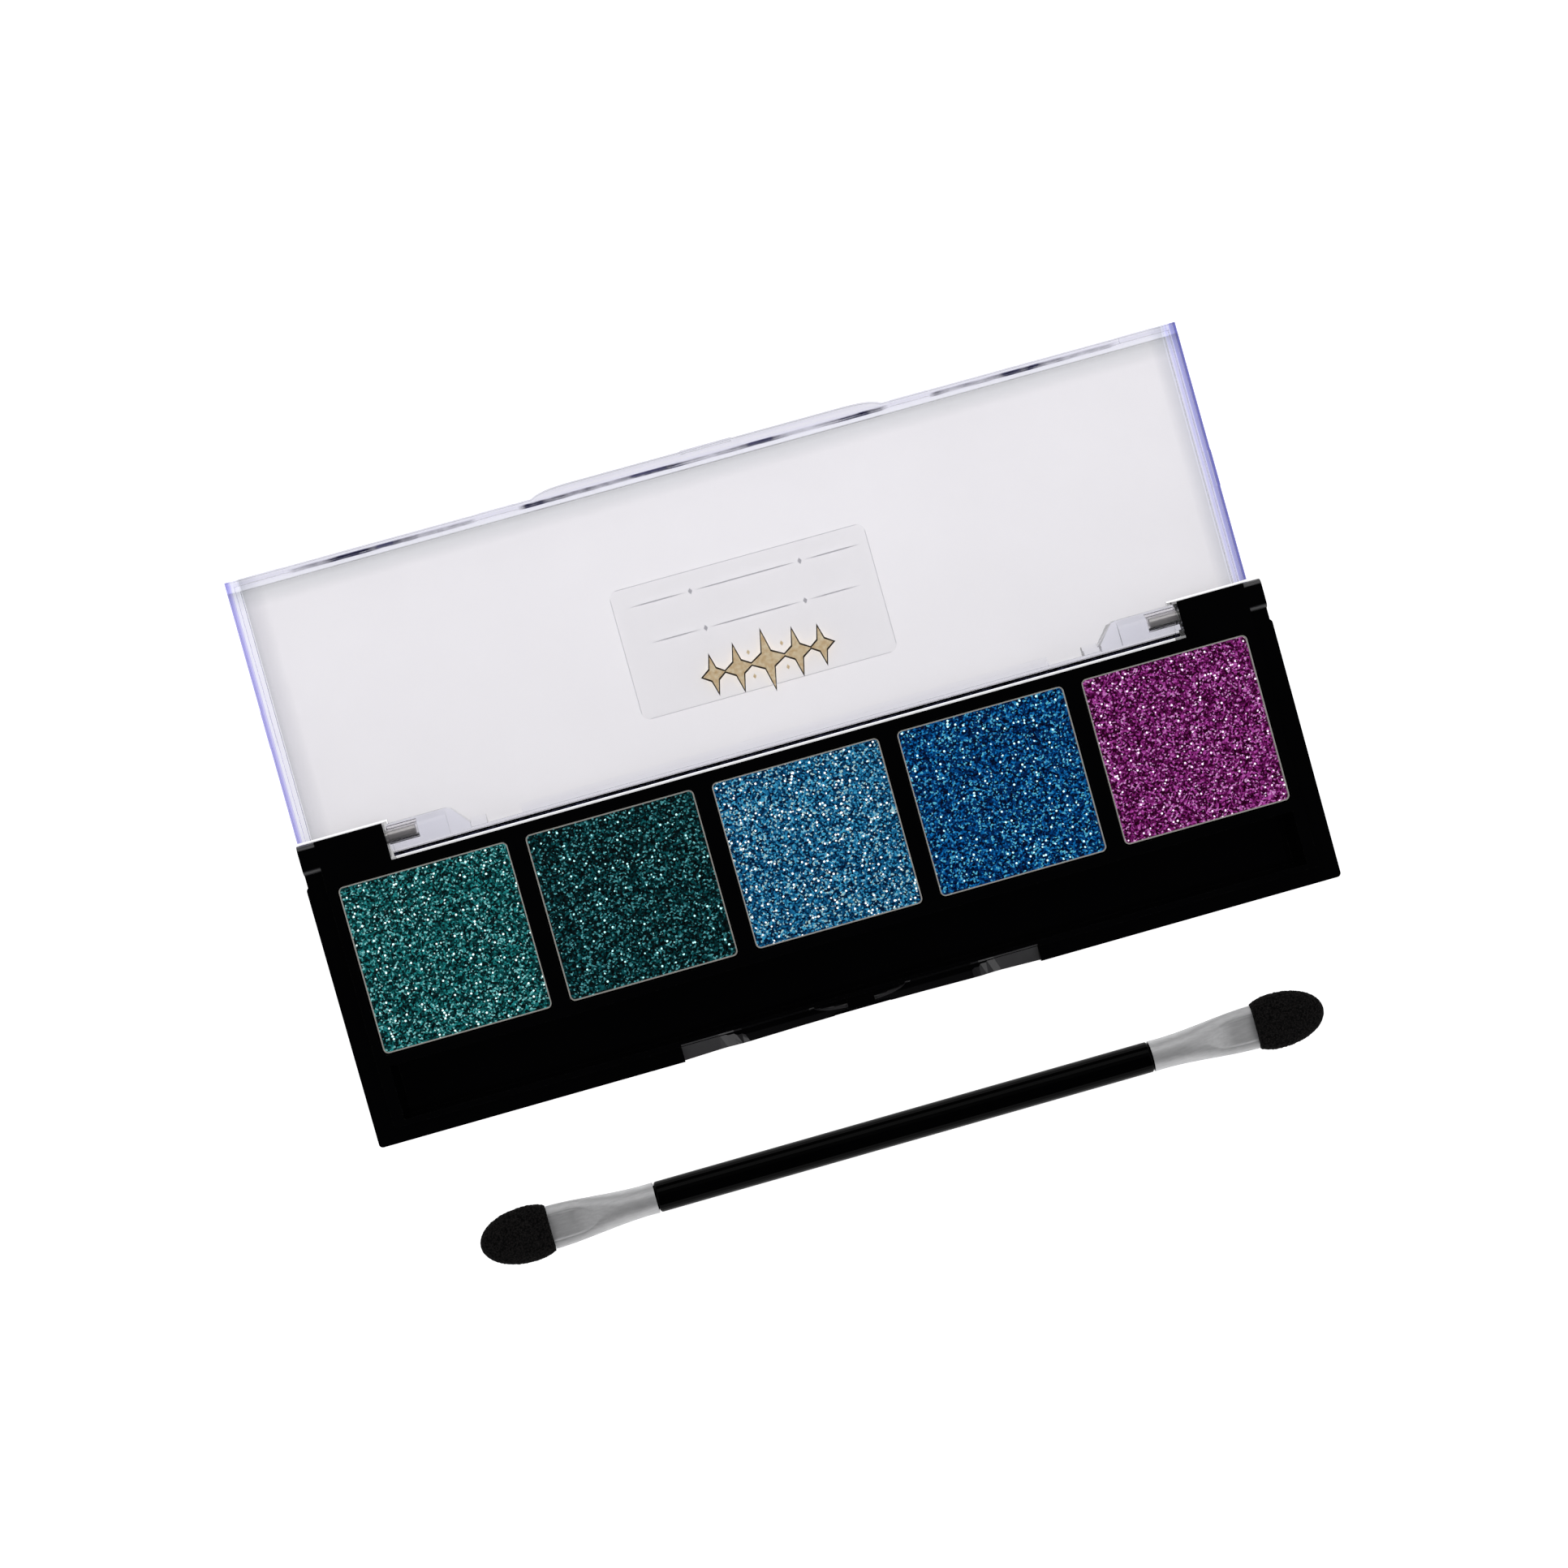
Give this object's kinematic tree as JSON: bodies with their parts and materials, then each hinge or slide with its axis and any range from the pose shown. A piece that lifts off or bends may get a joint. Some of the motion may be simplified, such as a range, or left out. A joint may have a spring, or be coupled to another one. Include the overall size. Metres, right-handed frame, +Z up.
{
  "type": "eyeshadow palette",
  "caption": "Slim palette tray with a row of square glitter pans, an applicator well and a clear hinged lid, with a sponge-tipped applicator beside it.",
  "frame": {"origin": "centre of the base's underside", "axes": "+X along the palette, to the viewer's right; +Y from the thumb notch to the hinge; +Z up. The rest pose has the lid fully open behind the base, its far edge at the table."},
  "size_m": [0.12, 0.0896, 0.0075],
  "materials": {
    "black_plastic": "gloss",
    "black_cover": "satin",
    "steel_pin": "satin",
    "clear_plastic": "clear, polished",
    "label": "clear film with gold and pale grey print",
    "pan_metal": "bright",
    "adhesive": "matt",
    "handle_plastic": "gloss",
    "ferrule_metal": "satin",
    "foam": "fine open foam",
    "stem_plastic": "satin",
    "glitter_teal": "pressed glitter",
    "glitter_dark_teal": "pressed glitter",
    "glitter_steel_blue": "pressed glitter",
    "glitter_royal_blue": "pressed glitter",
    "glitter_magenta": "pressed glitter"
  },
  "bodies": {
    "base": {"base_tray": "black_plastic", "bottom_cover": "black_cover", "hinge_pin_left": "steel_pin", "hinge_pin_right": "steel_pin", "pan_1": "pan_metal", "glitter_cake_1": "glitter_teal", "pan_pad_1": "adhesive", "pan_2": "pan_metal", "glitter_cake_2": "glitter_dark_teal", "pan_pad_2": "adhesive", "pan_3": "pan_metal", "glitter_cake_3": "glitter_steel_blue", "pan_pad_3": "adhesive", "pan_4": "pan_metal", "glitter_cake_4": "glitter_royal_blue", "pan_pad_4": "adhesive", "pan_5": "pan_metal", "glitter_cake_5": "glitter_magenta", "pan_pad_5": "adhesive"},
    "lid": {"lid": "clear_plastic", "lid_label": "label"},
    "applicator": {"applicator_handle": "handle_plastic", "ferrule_left": "ferrule_metal", "sponge_left": "foam", "sponge_stem_left": "stem_plastic", "ferrule_right": "ferrule_metal", "sponge_right": "foam", "sponge_stem_right": "stem_plastic"}
  },
  "joints": [
    {"name": "lid_hinge", "type": "hinge", "parent": "base", "child": "lid", "pos_m": [0, 0.0168, 0.0056], "axis": [1, 0, 0], "range_deg": [0, 181.9]},
    {"name": "applicator_lift", "type": "slide", "parent": "base", "child": "applicator", "axis": [0, 0, 1], "range_m": [0, 0.04]}
  ]
}
